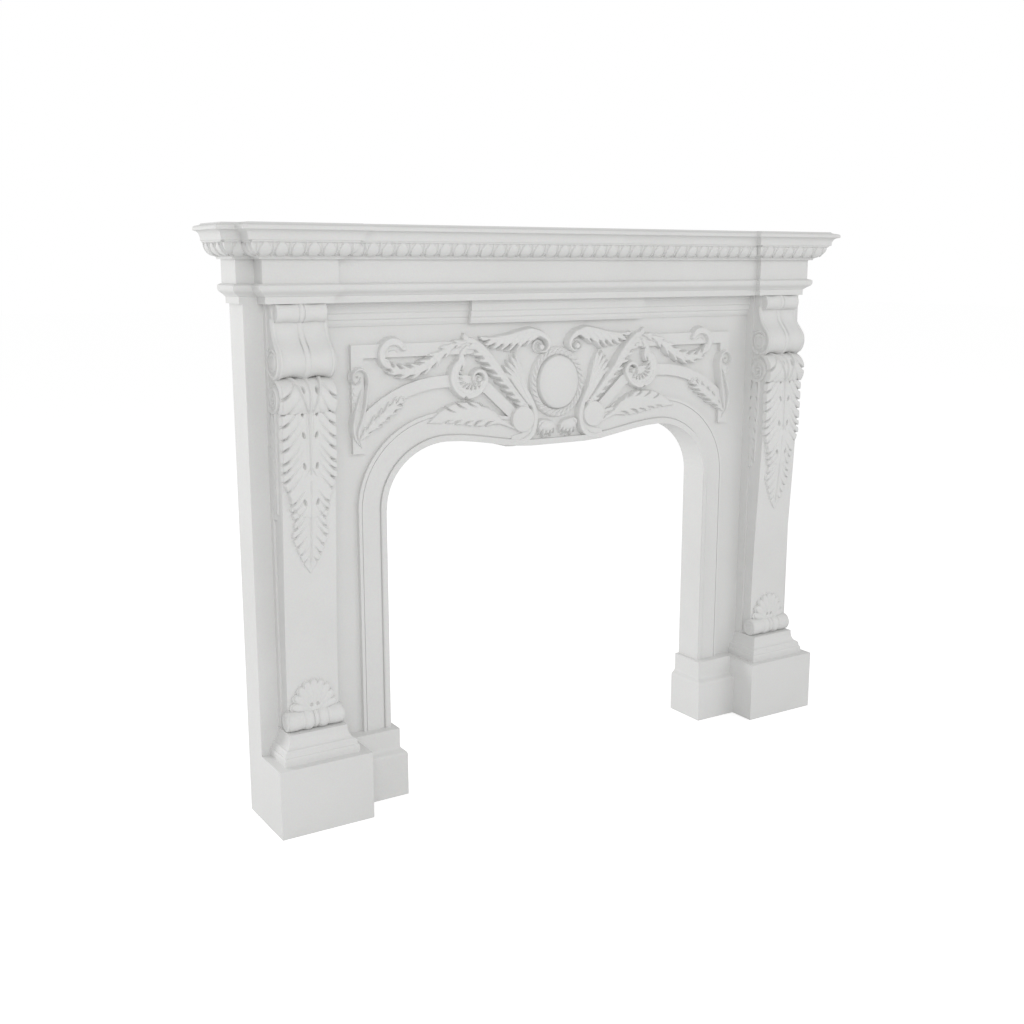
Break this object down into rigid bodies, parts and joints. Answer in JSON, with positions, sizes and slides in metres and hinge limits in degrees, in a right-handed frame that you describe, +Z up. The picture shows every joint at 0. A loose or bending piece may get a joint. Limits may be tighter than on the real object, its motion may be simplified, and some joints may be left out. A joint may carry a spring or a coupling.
{
  "type": "carved arched fireplace mantel",
  "caption": "Arched stone fireplace mantel with carved spandrels, an oval boss, leafed pilasters under scroll consoles, and an egg-and-dart shelf moulding.",
  "frame": {"origin": "middle of the footprint's box at floor level, halfway between the wall face and the front of the shelf", "axes": "+X along the mantel to the viewer's right, -Y out into the room, +Z up; the back lies flat in the plane of greatest Y"},
  "size_m": [1.686, 0.188, 1.283],
  "materials": {
    "stone": "matt honed pale grey-white stone"
  },
  "bodies": {
    "root": {"left_leg": "stone", "right_leg": "stone", "arch_panel": "stone", "left_pilaster_base": "stone", "right_pilaster_base": "stone", "left_pilaster": "stone", "right_pilaster": "stone", "left_console": "stone", "right_console": "stone", "frieze": "stone", "shelf": "stone"}
  },
  "joints": []
}
